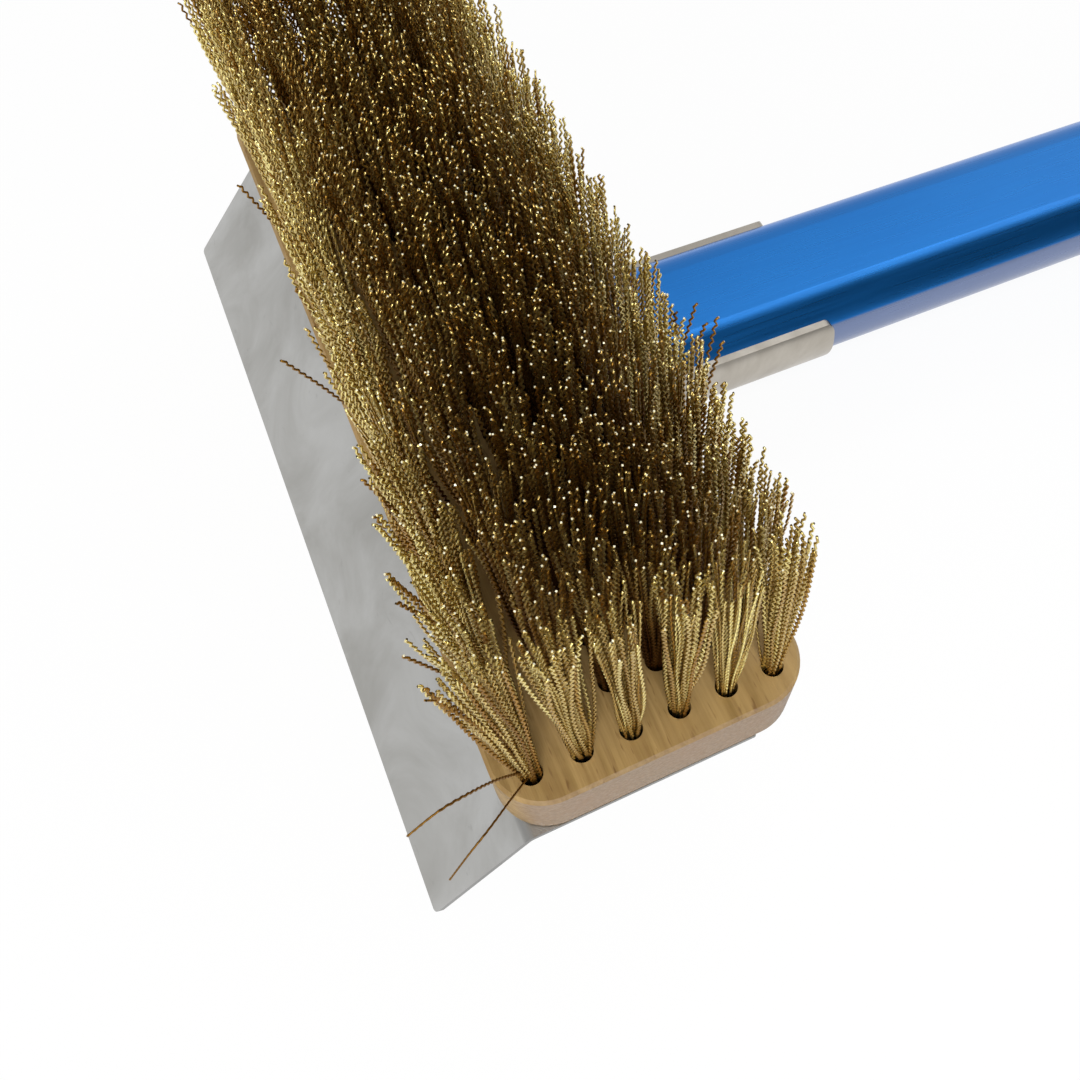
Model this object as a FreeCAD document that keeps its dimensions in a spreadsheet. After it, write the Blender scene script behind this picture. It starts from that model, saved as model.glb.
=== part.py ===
"""Long-handled wire brush with a bent scraper blade, as a parametric FreeCAD document.

Frame: millimetres, +Z the way the bristles point, +X from the head along the handle and +Y along
the wooden block. The origin is the centre of the head, on the back face of the bracket's tongue.
From the back, the head is a stack: bracket tongue, scraper plate, wooden block, bristles.
"""
import FreeCAD
import Part
import math
import os
import Sketcher

doc = FreeCAD.newDocument("WireBrush")

# ---------------------------------------------------------------------------------------------
# Driving dimensions, in millimetres and degrees
# ---------------------------------------------------------------------------------------------
DRIVING = {
    # wooden block
    "block_length": 200,
    "block_width": 64,
    "block_thickness": 17,
    "block_corner": 11,
    "block_arris": 0.7,
    # tuft holes: columns run along the block, rows across it
    "column_count": 6,
    "row_count": 19,
    "column_pitch": 10,
    "row_margin": 7,
    "hole_radius": 2.25,
    "hole_depth": 11,
    # bristles: each tuft is a bundle that opens from its hole to its tips
    "bristle_length": 51,
    "tuft_radius": 2.1,
    "tip_radius": 4.7,
    "lean_to_scraper": 3,
    "gather_across": 0.9,
    # flat wire that holds each tuft in its hole
    "anchor_gauge": 0.4,
    "anchor_height": 1.6,
    "anchor_fold": 0.8,
    # scraper plate
    "plate_sheet": 1.5,
    "plate_reach": 20,
    "bend_reach": 29.7,
    "lip_length": 34,
    "lip_angle": 48,
    "lip_bend_radius": 1.5,
    "lip_corner": 1.2,
    # handle tube, a flat oval
    "tube_width": 38,
    "tube_height": 20,
    "tube_wall": 1.5,
    "tube_length": 900,
    "tube_gap": 1.5,
    "tube_rise": 2.2,
    # bracket: tongue, joggle and channel in one pressing
    "bracket_sheet": 1.5,
    "tongue_back": 18,
    "tongue_front": 24,
    "tongue_width": 40,
    "tongue_corner": 4,
    "joggle_start": 25,
    "joggle_width": 26,
    "joggle_radius": 1.2,
    "channel_length": 50,
    "channel_rise": 6.3,
    "channel_corner": 2,
    # wood screws, countersunk flush with the sheet, with a cross recess
    "screw_radius": 1.9,
    "screw_length": 14,
    "screw_point": 3,
    "screw_hole_clearance": 0.3,
    "screw_head_radius": 3.3,
    "countersink_angle": 90,
    "recess_width": 0.9,
    "recess_span": 3.4,
    "recess_depth": 1.1,
    "screw_gap_across": 20,
    "bracket_screw_rows": 3,
    "plate_screw_rows": 15,
    # blind rivets and the mandrel left in each
    "rivet_radius": 2.4,
    "rivet_head_radius": 4.75,
    "rivet_head_height": 1.5,
    "rivet_bulb_radius": 3.5,
    "rivet_bulb_height": 4,
    "rivet_spacing": 20,
    "mandrel_radius": 1.2,
    "mandrel_head_radius": 2.2,
    "mandrel_head_height": 2,
    "mandrel_sink": 0.5,
    # plastic end cap
    "cap_lip": 0.8,
    "cap_length": 36,
    "cap_round": 4,
    "cap_plug_length": 25,
    "cap_clearance": 0.1,
    "hanging_radius": 5,
    "hanging_inset": 14,
}

sizes = doc.addObject("Spreadsheet::Sheet", "Sizes")
for row, (alias, value) in enumerate(DRIVING.items(), start=1):
    sizes.set(f"A{row}", alias)
    sizes.set(f"B{row}", str(value))
    sizes.setAlias(f"B{row}", alias)
doc.recompute()


def size(alias):
    """The value of a driving dimension, as a number."""
    return float(sizes.get(alias))


# ---------------------------------------------------------------------------------------------
# Places and sizes that follow from the driving dimensions, as expressions
# ---------------------------------------------------------------------------------------------
PLATE_BACK = "Sizes.bracket_sheet"
BLOCK_BACK = "(Sizes.bracket_sheet + Sizes.plate_sheet)"
BLOCK_FACE = f"({BLOCK_BACK} + Sizes.block_thickness)"
HOLE_FLOOR = f"({BLOCK_FACE} - Sizes.hole_depth)"
TIP_LEVEL = f"({BLOCK_FACE} + Sizes.bristle_length)"
ROW_PITCH = "((Sizes.block_length - 2 * Sizes.row_margin) / (Sizes.row_count - 1))"
FIRST_COLUMN = "((Sizes.column_count - 1) / 2 * Sizes.column_pitch)"
FIRST_ROW = "(Sizes.block_length / 2 - Sizes.row_margin)"
TUBE_RADIUS = "(Sizes.tube_height / 2)"
OVAL_SPAN = "(Sizes.tube_width - Sizes.tube_height)"
TUBE_START = "(Sizes.block_width / 2 + Sizes.tube_gap)"
TUBE_AXIS = f"({BLOCK_BACK} + Sizes.tube_rise)"
TUBE_BACK = f"({TUBE_AXIS} - {TUBE_RADIUS})"
TUBE_END = f"({TUBE_START} + Sizes.tube_length)"
CHANNEL_BACK = f"({TUBE_BACK} - Sizes.bracket_sheet)"
SCREW_HOLE = "(Sizes.screw_radius + Sizes.screw_hole_clearance)"
FIRST_RIVET = f"({TUBE_START} + (Sizes.channel_length - Sizes.rivet_spacing) / 2)"
BRACKET_SCREW_Y = f"(Sizes.bracket_screw_rows / 2 * {ROW_PITCH})"
PLATE_SCREW_Y = f"(Sizes.plate_screw_rows / 2 * {ROW_PITCH})"
SCREW_X = "(Sizes.screw_gap_across / 2)"


# ---------------------------------------------------------------------------------------------
# Helpers
# ---------------------------------------------------------------------------------------------
def new_body(name, x="0", y="0", z="0"):
    """A PartDesign body placed at expressions x, y and z."""
    body = doc.addObject("PartDesign::Body", name)
    body.Label = name
    place(body, x, y, z)
    return body


def place(item, x="0", y="0", z="0"):
    """Binds an object's position to expressions."""
    for letter, expression in zip("xyz", (x, y, z)):
        if expression != "0":
            item.setExpression(f"Placement.Base.{letter}", expression)


def new_sketch(body, name, role, offset="0"):
    """A sketch on one of the body's own origin planes, moved along its normal by an expression."""
    sketch = body.newObject("Sketcher::SketchObject", name)
    plane = next(item for item in body.Origin.OriginFeatures if item.Role == role)
    sketch.AttachmentSupport = [(plane, "")]
    sketch.MapMode = "FlatFace"
    if offset != "0":
        sketch.setExpression("AttachmentOffset.Base.z", offset)
    return sketch


def bind(sketch, kind, references, name, expression):
    """Adds one named dimension to a sketch and ties it to an expression."""
    start = value_of(expression)
    index = sketch.addConstraint(Sketcher.Constraint(kind, *references, start))
    sketch.renameConstraint(index, name)
    sketch.setExpression(f"Constraints.{name}", expression)


def value_of(expression):
    """An expression's present value, as a number."""
    result = sizes.evalExpression(expression.replace("Sizes.", ""))
    return float(getattr(result, "Value", result))


def polygon(sketch, corners):
    """A closed outline whose corners are pairs of expressions, measured from the sketch's origin."""
    points = [FreeCAD.Vector(value_of(x), value_of(y), 0) for x, y in corners]
    count = len(points)
    first = sketch.GeometryCount
    for index, point in enumerate(points):
        sketch.addGeometry(Part.LineSegment(point, points[(index + 1) % count]), False)
    for index in range(count):
        following = first + (index + 1) % count
        sketch.addConstraint(Sketcher.Constraint("Coincident", first + index, 2, following, 1))
    for index, (x, y) in enumerate(corners):
        line = first + index
        bind(sketch, "DistanceX", (-1, 1, line, 1), f"x{line}", x)
        bind(sketch, "DistanceY", (-1, 1, line, 1), f"y{line}", y)


def rectangle(sketch, low_x, high_x, low_y, high_y):
    """An upright rectangle between four expressions."""
    polygon(sketch, [(low_x, low_y), (high_x, low_y), (high_x, high_y), (low_x, high_y)])


def circle(sketch, radius, x, y):
    """A circle with its radius and centre given by expressions."""
    centre = FreeCAD.Vector(value_of(x), value_of(y), 0)
    index = sketch.GeometryCount
    normal = FreeCAD.Vector(0, 0, 1)
    sketch.addGeometry(Part.Circle(centre, normal, value_of(radius)), False)
    bind(sketch, "Radius", (index,), f"radius{index}", radius)
    bind(sketch, "DistanceX", (-1, 1, index, 3), f"x{index}", x)
    bind(sketch, "DistanceY", (-1, 1, index, 3), f"y{index}", y)


def oval(sketch, radius, middle):
    """A flat oval, round at both ends, whose arc centres lie OVAL_SPAN apart at height middle."""
    number, half, level = value_of(radius), value_of(OVAL_SPAN) / 2, value_of(middle)
    first = sketch.GeometryCount
    for side, start in ((1, -math.pi / 2), (-1, math.pi / 2)):
        centre = FreeCAD.Vector(side * half, level, 0)
        arc = Part.Circle(centre, FreeCAD.Vector(0, 0, 1), number)
        sketch.addGeometry(Part.ArcOfCircle(arc, start, start + math.pi), False)
    top, bottom = level + number, level - number
    sketch.addGeometry(Part.LineSegment(FreeCAD.Vector(half, top), FreeCAD.Vector(-half, top)), False)
    sketch.addGeometry(Part.LineSegment(FreeCAD.Vector(-half, bottom), FreeCAD.Vector(half, bottom)), False)
    right, left, upper, lower = range(first, first + 4)
    for one, one_end, other, other_end in (
        (right, 2, upper, 1),
        (upper, 2, left, 1),
        (left, 2, lower, 1),
        (lower, 2, right, 1),
    ):
        sketch.addConstraint(Sketcher.Constraint("Tangent", one, one_end, other, other_end))
    sketch.addConstraint(Sketcher.Constraint("Equal", right, left))
    bind(sketch, "Radius", (right,), f"radius{right}", radius)
    bind(sketch, "DistanceX", (-1, 1, right, 3), f"half{right}", f"{OVAL_SPAN} / 2")
    bind(sketch, "DistanceY", (-1, 1, right, 3), f"level{right}", middle)
    bind(sketch, "DistanceX", (-1, 1, left, 3), f"half{left}", f"-{OVAL_SPAN} / 2")


def pad(body, sketch, length, both_ways=False, backwards=False):
    """Adds material from a sketch."""
    feature = body.newObject("PartDesign::Pad", f"{sketch.Name}_pad")
    feature.Profile = sketch
    feature.Midplane = both_ways
    feature.Reversed = backwards
    feature.setExpression("Length", length)
    return feature


def pocket(body, sketch, length=None, backwards=False, both_ways=False):
    """Cuts a sketch out of the body, to a depth or right through, and checks that it cut."""
    doc.recompute()
    before = body.Shape.Volume
    feature = body.newObject("PartDesign::Pocket", f"{sketch.Name}_cut")
    feature.Profile = sketch
    feature.Reversed = backwards
    feature.Midplane = both_ways
    if length is None:
        feature.Type = "ThroughAll"
    else:
        feature.setExpression("Length", length)
    doc.recompute()
    if not body.Shape.Volume < before:
        raise RuntimeError(f"{feature.Name} cut nothing")
    return feature


def countersunk_holes(body, sketch):
    """Through holes for the countersunk screws, widest at the sheet's back face."""
    doc.recompute()
    before = body.Shape.Volume
    feature = body.newObject("PartDesign::Hole", f"{sketch.Name}_drilled")
    feature.Profile = sketch
    doc.recompute()
    feature.Reversed = True
    feature.DepthType = "ThroughAll"
    feature.HoleCutType = "Countersink"
    feature.setExpression("Diameter", f"2 * {SCREW_HOLE}")
    feature.setExpression("HoleCutDiameter", "2 * Sizes.screw_head_radius")
    feature.setExpression("HoleCutCountersinkAngle", "Sizes.countersink_angle")
    doc.recompute()
    if not body.Shape.Volume < before:
        raise RuntimeError(f"{feature.Name} cut nothing")
    return feature


def revolve(body, sketch):
    """Turns a sketch about its own vertical axis."""
    feature = body.newObject("PartDesign::Revolution", f"{sketch.Name}_turned")
    feature.Profile = sketch
    feature.ReferenceAxis = (sketch, ["V_Axis"])
    feature.Angle = 360
    return feature


def repeat(body, features, name, runs):
    """Repeats features along lines. Each run is (origin axis role, count, overall length)."""
    pattern = body.newObject("PartDesign::MultiTransform", name)
    pattern.Originals = features
    lines = []
    for role, count, length in runs:
        line = body.newObject("PartDesign::LinearPattern", f"{name}_{role[0].lower()}")
        axis = next(item for item in body.Origin.OriginFeatures if item.Role == role)
        line.Direction = (axis, [""])
        line.setExpression("Length", length)
        line.setExpression("Occurrences", count)
        lines.append(line)
    pattern.Transformations = lines
    body.Tip = pattern
    return pattern


def edges_where(shape, test):
    """The names of the edges that a test accepts."""
    return [f"Edge{n}" for n, edge in enumerate(shape.Edges, start=1) if test(edge)]


def runs_along(edge, direction):
    """True for a straight edge along a unit vector."""
    if edge.Curve.TypeId != "Part::GeomLine":
        return False
    return abs(abs(edge.tangentAt(edge.FirstParameter).dot(FreeCAD.Vector(*direction))) - 1) < 1e-6


def dress(body, kind, name, base, edges, measure, expression):
    """A fillet or a chamfer on edges of the feature base."""
    if not edges:
        raise RuntimeError(f"{name} found no edges")
    feature = body.newObject(f"PartDesign::{kind}", name)
    feature.Base = (base, edges)
    feature.setExpression(measure, expression)
    doc.recompute()
    return feature


def near(one, other):
    """True for two equal lengths."""
    return abs(one - other) < 1e-4


# ---------------------------------------------------------------------------------------------
# Wooden block
# ---------------------------------------------------------------------------------------------
def make_block():
    """The block, with rounded corners, eased edges, blind tuft holes and screw pilot holes."""
    body = new_body("head_block", z=BLOCK_BACK)
    outline = new_sketch(body, "block_outline", "XY_Plane")
    half_width, half_length = "Sizes.block_width / 2", "Sizes.block_length / 2"
    rectangle(outline, f"-{half_width}", half_width, f"-{half_length}", half_length)
    slab = pad(body, outline, "Sizes.block_thickness")
    doc.recompute()
    uprights = edges_where(slab.Shape, lambda edge: runs_along(edge, (0, 0, 1)))
    rounded = dress(body, "Fillet", "block_corners", slab, uprights, "Radius", "Sizes.block_corner")
    levels = (0, size("block_thickness"))
    rims = edges_where(
        rounded.Shape,
        lambda edge: any(near(edge.BoundBox.ZMin, z) and near(edge.BoundBox.ZMax, z) for z in levels),
    )
    dress(body, "Chamfer", "block_arris_cut", rounded, rims, "Size", "Sizes.block_arris")

    mouth = new_sketch(body, "tuft_hole", "XY_Plane", "Sizes.block_thickness")
    circle(mouth, "Sizes.hole_radius", f"-{FIRST_COLUMN}", f"-{FIRST_ROW}")
    hole = pocket(body, mouth, "Sizes.hole_depth")
    repeat(
        body,
        [hole],
        "tuft_holes",
        [
            ("X_Axis", "Sizes.column_count", f"2 * {FIRST_COLUMN}"),
            ("Y_Axis", "Sizes.row_count", f"2 * {FIRST_ROW}"),
        ],
    )
    bite = "(Sizes.screw_length - Sizes.plate_sheet)"
    for name, y, depth in (
        ("plate_pilots", PLATE_SCREW_Y, bite),
        ("bracket_pilots", BRACKET_SCREW_Y, f"({bite} - Sizes.bracket_sheet)"),
    ):
        pilots = new_sketch(body, name, "XY_Plane")
        four_circles(pilots, "Sizes.screw_radius", y)
        pocket(body, pilots, depth, backwards=True)
    return body


def four_circles(sketch, radius, y):
    """Circles for the four screws of one group, either side of both centre lines."""
    for side_x in ("-", ""):
        for side_y in ("-", ""):
            circle(sketch, radius, f"{side_x}{SCREW_X}", f"{side_y}{y}")


# ---------------------------------------------------------------------------------------------
# Bristles and their anchors
# ---------------------------------------------------------------------------------------------
def ring(name, radius, x, y, z):
    """A level circle that a tuft is lofted through."""
    section = doc.addObject("Part::Circle", name)
    section.setExpression("Radius", radius)
    place(section, x, y, z)
    return section


def make_tuft(name, column, line):
    """One tuft: straight in its hole, then opening to its tips and leaning as its place has it."""
    x = f"{column} * Sizes.column_pitch"
    y = f"{line} * {ROW_PITCH}"
    from_middle = f"{column} / ((Sizes.column_count - 1) / 2)"
    lean = f"(Sizes.lean_to_scraper + {from_middle} * Sizes.gather_across)"
    tuft = doc.addObject("Part::Loft", name)
    tuft.Sections = [
        ring(f"{name}_root", "Sizes.tuft_radius", x, y, HOLE_FLOOR),
        ring(f"{name}_mouth", "Sizes.tuft_radius", x, y, BLOCK_FACE),
        ring(f"{name}_tips", "Sizes.tip_radius", f"{x} - {lean}", y, TIP_LEVEL),
    ]
    tuft.Solid = True
    tuft.Ruled = True
    return tuft


def make_anchor(name, column, line):
    """The flat wire across the hole that the tuft is folded around, its corners on the bore."""
    half_gauge = "(Sizes.anchor_gauge / 2)"
    half_span = f"sqrt(Sizes.hole_radius ^ 2 - {half_gauge} ^ 2)"
    anchor = doc.addObject("Part::Box", name)
    anchor.setExpression("Length", f"2 * {half_span}")
    anchor.setExpression("Width", "Sizes.anchor_gauge")
    anchor.setExpression("Height", "Sizes.anchor_height")
    place(
        anchor,
        f"{column} * Sizes.column_pitch - {half_span}",
        f"{line} * {ROW_PITCH} - {half_gauge}",
        f"{HOLE_FLOOR} + Sizes.anchor_fold",
    )
    return anchor


def make_bristles():
    """A node for each row of tufts, and one node of all the anchors."""
    columns = int(size("column_count"))
    lines = int(size("row_count"))
    rows, anchors = [], []
    for line_index in range(lines):
        line = line_index - (lines - 1) / 2
        tag = f"{line_index + 1:02d}"
        tufts, fixings = [], []
        for column_index in range(columns):
            column = column_index - (columns - 1) / 2
            place_tag = f"{tag}_{column_index + 1}"
            tufts.append(make_tuft(f"tuft_{place_tag}", column, line))
            fixings.append(make_anchor(f"anchor_{place_tag}", column, line))
        bundle = doc.addObject("Part::Compound", f"tufts_{tag}")
        bundle.Links = tufts
        held = doc.addObject("Part::Compound", f"anchors_{tag}")
        held.Links = fixings
        bristle_row = doc.addObject("Part::Cut", f"bristle_row_{tag}")
        bristle_row.Base = bundle
        bristle_row.Tool = held
        bristle_row.Label = f"bristle_row_{tag}"
        rows.append(bristle_row)
        anchors.append(held)
    all_anchors = doc.addObject("Part::Compound", "tuft_anchors")
    all_anchors.Links = anchors
    all_anchors.Label = "tuft_anchors"
    return rows + [all_anchors]


# ---------------------------------------------------------------------------------------------
# Scraper plate
# ---------------------------------------------------------------------------------------------
def make_scraper():
    """A plate as long as the block, bent back along one side into the scraping lip."""
    body = new_body("scraper_plate", z=PLATE_BACK)
    profile = new_sketch(body, "scraper_profile", "XZ_Plane")
    cosine, sine = "cos(Sizes.lip_angle * 1deg)", "sin(Sizes.lip_angle * 1deg)"
    bend = "-Sizes.bend_reach"
    edge_x = f"{bend} - Sizes.lip_length * {cosine}"
    edge_z = f"Sizes.plate_sheet - Sizes.lip_length * {sine}"
    polygon(
        profile,
        [
            ("Sizes.plate_reach", "0"),
            ("Sizes.plate_reach", "Sizes.plate_sheet"),
            (bend, "Sizes.plate_sheet"),
            (edge_x, edge_z),
            (f"{edge_x} + Sizes.plate_sheet * {sine}", f"{edge_z} - Sizes.plate_sheet * {cosine}"),
            (f"{bend} + Sizes.plate_sheet * tan(Sizes.lip_angle * 1deg / 2)", "0"),
        ],
    )
    sheet = pad(body, profile, "Sizes.block_length", both_ways=True)
    doc.recompute()
    thickness = size("plate_sheet")

    def on_bend(edge, level):
        centre = edge.CenterOfMass
        at_bend = abs(centre.x + size("bend_reach")) < 2 * thickness
        return runs_along(edge, (0, 1, 0)) and at_bend and near(centre.z, level)

    outer = edges_where(sheet.Shape, lambda edge: on_bend(edge, thickness))
    wide = "Sizes.lip_bend_radius + Sizes.plate_sheet"
    outer_bend = dress(body, "Fillet", "bend_outside", sheet, outer, "Radius", wide)
    inner = edges_where(outer_bend.Shape, lambda edge: on_bend(edge, 0))
    bent = dress(body, "Fillet", "bend_inside", outer_bend, inner, "Radius", "Sizes.lip_bend_radius")
    angle = math.radians(size("lip_angle"))
    across = (math.sin(angle), 0, -math.cos(angle))
    corners = edges_where(bent.Shape, lambda edge: runs_along(edge, across))
    dress(body, "Fillet", "lip_corners", bent, corners, "Radius", "Sizes.lip_corner")
    passing = new_sketch(body, "tongue_screw_holes", "XY_Plane")
    four_circles(passing, SCREW_HOLE, BRACKET_SCREW_Y)
    pocket(body, passing, "Sizes.plate_sheet", backwards=True)
    seats = new_sketch(body, "plate_screw_holes", "XY_Plane")
    four_circles(seats, SCREW_HOLE, PLATE_SCREW_Y)
    countersunk_holes(body, seats)
    return body


# ---------------------------------------------------------------------------------------------
# Handle bracket
# ---------------------------------------------------------------------------------------------
def make_bracket():
    """A pressing: a tongue under the plate, a joggle, and a channel that wraps the tube's back."""
    body = new_body("handle_bracket")
    drop = f"(-{CHANNEL_BACK})"
    joggle_end = f"(Sizes.joggle_start + {drop})"
    ease = "Sizes.bracket_sheet * tan(45deg / 2)"
    side = new_sketch(body, "strip_profile", "XZ_Plane")
    polygon(
        side,
        [
            ("-Sizes.tongue_back", "0"),
            (f"Sizes.joggle_start - {ease}", "0"),
            (f"{joggle_end} - {ease}", CHANNEL_BACK),
            (f"{TUBE_START} + Sizes.bracket_sheet", CHANNEL_BACK),
            (f"{TUBE_START} + Sizes.bracket_sheet", TUBE_BACK),
            (joggle_end, TUBE_BACK),
            ("Sizes.joggle_start", "Sizes.bracket_sheet"),
            ("-Sizes.tongue_back", "Sizes.bracket_sheet"),
        ],
    )
    strip = pad(body, side, "Sizes.joggle_width", both_ways=True)
    doc.recompute()
    folds = edges_where(
        strip.Shape,
        lambda edge: runs_along(edge, (0, 1, 0))
        and size("joggle_start") - 2 < edge.CenterOfMass.x < value_of(joggle_end) + 1e-3,
    )
    dress(body, "Fillet", "joggle_folds", strip, folds, "Radius", "Sizes.joggle_radius")

    tongue = new_sketch(body, "tongue_outline", "XY_Plane")
    half = "Sizes.tongue_width / 2"
    rectangle(tongue, "-Sizes.tongue_back", "Sizes.tongue_front", f"-{half}", half)
    pad(body, tongue, "Sizes.bracket_sheet")

    wrap = new_sketch(body, "channel_section", "YZ_Plane", TUBE_START)
    oval(wrap, f"{TUBE_RADIUS} + Sizes.bracket_sheet", TUBE_AXIS)
    oval(wrap, TUBE_RADIUS, TUBE_AXIS)
    pad(body, wrap, "Sizes.channel_length")

    opening = new_sketch(body, "channel_opening", "YZ_Plane", f"{TUBE_START} - Sizes.tube_gap / 2")
    clear = "(Sizes.tube_width / 2 + Sizes.tube_height)"
    cut = f"({TUBE_AXIS} + Sizes.channel_rise)"
    rectangle(opening, f"-{clear}", clear, cut, f"{cut} + Sizes.tube_height")
    opened = pocket(body, opening, "Sizes.channel_length + Sizes.tube_gap", backwards=True)

    seats = new_sketch(body, "bracket_screw_holes", "XY_Plane")
    four_circles(seats, SCREW_HOLE, BRACKET_SCREW_Y)
    countersunk_holes(body, seats)
    rivets = new_sketch(body, "bracket_rivet_holes", "XY_Plane", CHANNEL_BACK)
    two_rivet_circles(rivets)
    drilled = pocket(body, rivets, "Sizes.bracket_sheet", backwards=True)

    corner_x = value_of(f"{TUBE_START} + Sizes.channel_length")
    tongue_x = -size("tongue_back")
    lip_level = value_of(TUBE_AXIS)
    flange_corners = edges_where(
        drilled.Shape,
        lambda edge: edge.Curve.TypeId == "Part::GeomLine"
        and near(edge.BoundBox.XMin, corner_x)
        and edge.BoundBox.ZMin > lip_level,
    )
    shaped = dress(
        body, "Fillet", "flange_corners", drilled, flange_corners, "Radius", "Sizes.channel_corner"
    )
    tongue_corners = edges_where(
        shaped.Shape,
        lambda edge: runs_along(edge, (0, 0, 1))
        and near(abs(edge.CenterOfMass.y), size("tongue_width") / 2)
        and (near(edge.CenterOfMass.x, tongue_x) or near(edge.CenterOfMass.x, size("tongue_front"))),
    )
    dress(body, "Fillet", "tongue_corners", shaped, tongue_corners, "Radius", "Sizes.tongue_corner")
    return body


def two_rivet_circles(sketch):
    """The two rivet holes, one behind the other along the handle."""
    for x in (FIRST_RIVET, f"{FIRST_RIVET} + Sizes.rivet_spacing"):
        circle(sketch, "Sizes.rivet_radius", x, "0")


# ---------------------------------------------------------------------------------------------
# Handle tube and end cap
# ---------------------------------------------------------------------------------------------
def make_tube():
    """The flat oval tube, with the rivet holes through its back wall."""
    body = new_body("handle_tube")
    section = new_sketch(body, "tube_section", "YZ_Plane", TUBE_START)
    oval(section, TUBE_RADIUS, TUBE_AXIS)
    oval(section, f"{TUBE_RADIUS} - Sizes.tube_wall", TUBE_AXIS)
    pad(body, section, "Sizes.tube_length")
    holes = new_sketch(body, "tube_rivet_holes", "XY_Plane", TUBE_BACK)
    two_rivet_circles(holes)
    pocket(body, holes, "Sizes.tube_wall", backwards=True)
    return body


def make_cap():
    """The plastic cap on the tube's free end, with a plug inside the tube and a hanging hole."""
    body = new_body("end_cap")
    shell = new_sketch(body, "cap_section", "YZ_Plane", TUBE_END)
    oval(shell, f"{TUBE_RADIUS} + Sizes.cap_lip", TUBE_AXIS)
    block = pad(body, shell, "Sizes.cap_length")
    doc.recompute()
    end_x = value_of(f"{TUBE_END} + Sizes.cap_length")
    rim = edges_where(
        block.Shape, lambda edge: near(edge.BoundBox.XMin, end_x) and near(edge.BoundBox.XMax, end_x)
    )
    dress(body, "Fillet", "cap_end_round", block, rim, "Radius", "Sizes.cap_round")
    plug = new_sketch(body, "plug_section", "YZ_Plane", TUBE_END)
    oval(plug, f"{TUBE_RADIUS} - Sizes.tube_wall - Sizes.cap_clearance", TUBE_AXIS)
    pad(body, plug, "Sizes.cap_plug_length", backwards=True)
    hole = new_sketch(body, "hanging_hole", "XY_Plane", f"{TUBE_AXIS} + Sizes.tube_height")
    circle(hole, "Sizes.hanging_radius", f"{TUBE_END} + Sizes.cap_length - Sizes.hanging_inset", "0")
    pocket(body, hole, "2 * Sizes.tube_height")
    return body


# ---------------------------------------------------------------------------------------------
# Fasteners
# ---------------------------------------------------------------------------------------------
def make_screws(name, seat, y):
    """Four equal wood screws, flush with the sheet face at level seat and driven towards +Z."""
    body = new_body(name, f"-{SCREW_X}", f"-{y}", seat)
    profile = new_sketch(body, f"{name}_profile", "XZ_Plane")
    flare = "Sizes.screw_head_radius - Sizes.screw_radius"
    polygon(
        profile,
        [
            ("0", "0"),
            ("Sizes.screw_head_radius", "0"),
            ("Sizes.screw_radius", f"({flare}) / tan(Sizes.countersink_angle * 1deg / 2)"),
            ("Sizes.screw_radius", "Sizes.screw_length - Sizes.screw_point"),
            ("0", "Sizes.screw_length"),
        ],
    )
    screw = revolve(body, profile)
    cross = new_sketch(body, f"{name}_cross", "XY_Plane")
    arm, slot = "Sizes.recess_span / 2", "Sizes.recess_width / 2"
    quarter = [(arm, f"-{slot}"), (arm, slot), (slot, slot)]
    corners = []
    for turn in range(4):
        for x, y_here in quarter:
            for _ in range(turn):
                x, y_here = negative(y_here), x
            corners.append((x, y_here))
    polygon(cross, corners)
    recess = pocket(body, cross, "Sizes.recess_depth", backwards=True)
    repeat(
        body,
        [screw, recess],
        f"{name}_all",
        [("X_Axis", "2", f"2 * {SCREW_X}"), ("Y_Axis", "2", f"2 * {y}")],
    )
    return body


def negative(expression):
    """The expression with its sign changed."""
    return expression[1:] if expression.startswith("-") else f"-{expression}"


def make_rivets():
    """Two blind rivets through the channel and the tube's back wall, set from behind."""
    body = new_body("tube_rivets", FIRST_RIVET, "0", CHANNEL_BACK)
    profile = new_sketch(body, "rivet_profile", "XZ_Plane")
    grip = "(Sizes.bracket_sheet + Sizes.tube_wall)"
    bulb = "Sizes.rivet_bulb_radius"
    polygon(
        profile,
        [
            ("Sizes.mandrel_radius", "-Sizes.rivet_head_height"),
            ("0.55 * Sizes.rivet_head_radius", "-Sizes.rivet_head_height"),
            ("0.9 * Sizes.rivet_head_radius", "-0.6 * Sizes.rivet_head_height"),
            ("Sizes.rivet_head_radius", "0"),
            ("Sizes.rivet_radius", "0"),
            ("Sizes.rivet_radius", grip),
            (bulb, grip),
            (bulb, f"{grip} + Sizes.rivet_bulb_height - Sizes.mandrel_head_height"),
            ("Sizes.rivet_radius", f"{grip} + Sizes.rivet_bulb_height"),
            ("Sizes.mandrel_radius", f"{grip} + Sizes.rivet_bulb_height"),
        ],
    )
    rivet = revolve(body, profile)
    repeat(body, [rivet], "rivet_pair", [("X_Axis", "2", "Sizes.rivet_spacing")])
    return body


def make_mandrels():
    """The broken-off steel mandrel that stays in each blind rivet."""
    body = new_body("rivet_mandrels", FIRST_RIVET, "0", CHANNEL_BACK)
    profile = new_sketch(body, "mandrel_profile", "XZ_Plane")
    top = "(Sizes.bracket_sheet + Sizes.tube_wall + Sizes.rivet_bulb_height)"
    snapped = "Sizes.mandrel_sink - Sizes.rivet_head_height"
    polygon(
        profile,
        [
            ("0", snapped),
            ("Sizes.mandrel_radius", snapped),
            ("Sizes.mandrel_radius", top),
            ("Sizes.mandrel_head_radius", top),
            ("Sizes.mandrel_head_radius", f"{top} + Sizes.mandrel_head_height / 2"),
            ("0", f"{top} + Sizes.mandrel_head_height"),
        ],
    )
    mandrel = revolve(body, profile)
    repeat(body, [mandrel], "mandrel_pair", [("X_Axis", "2", "Sizes.rivet_spacing")])
    return body


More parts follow.
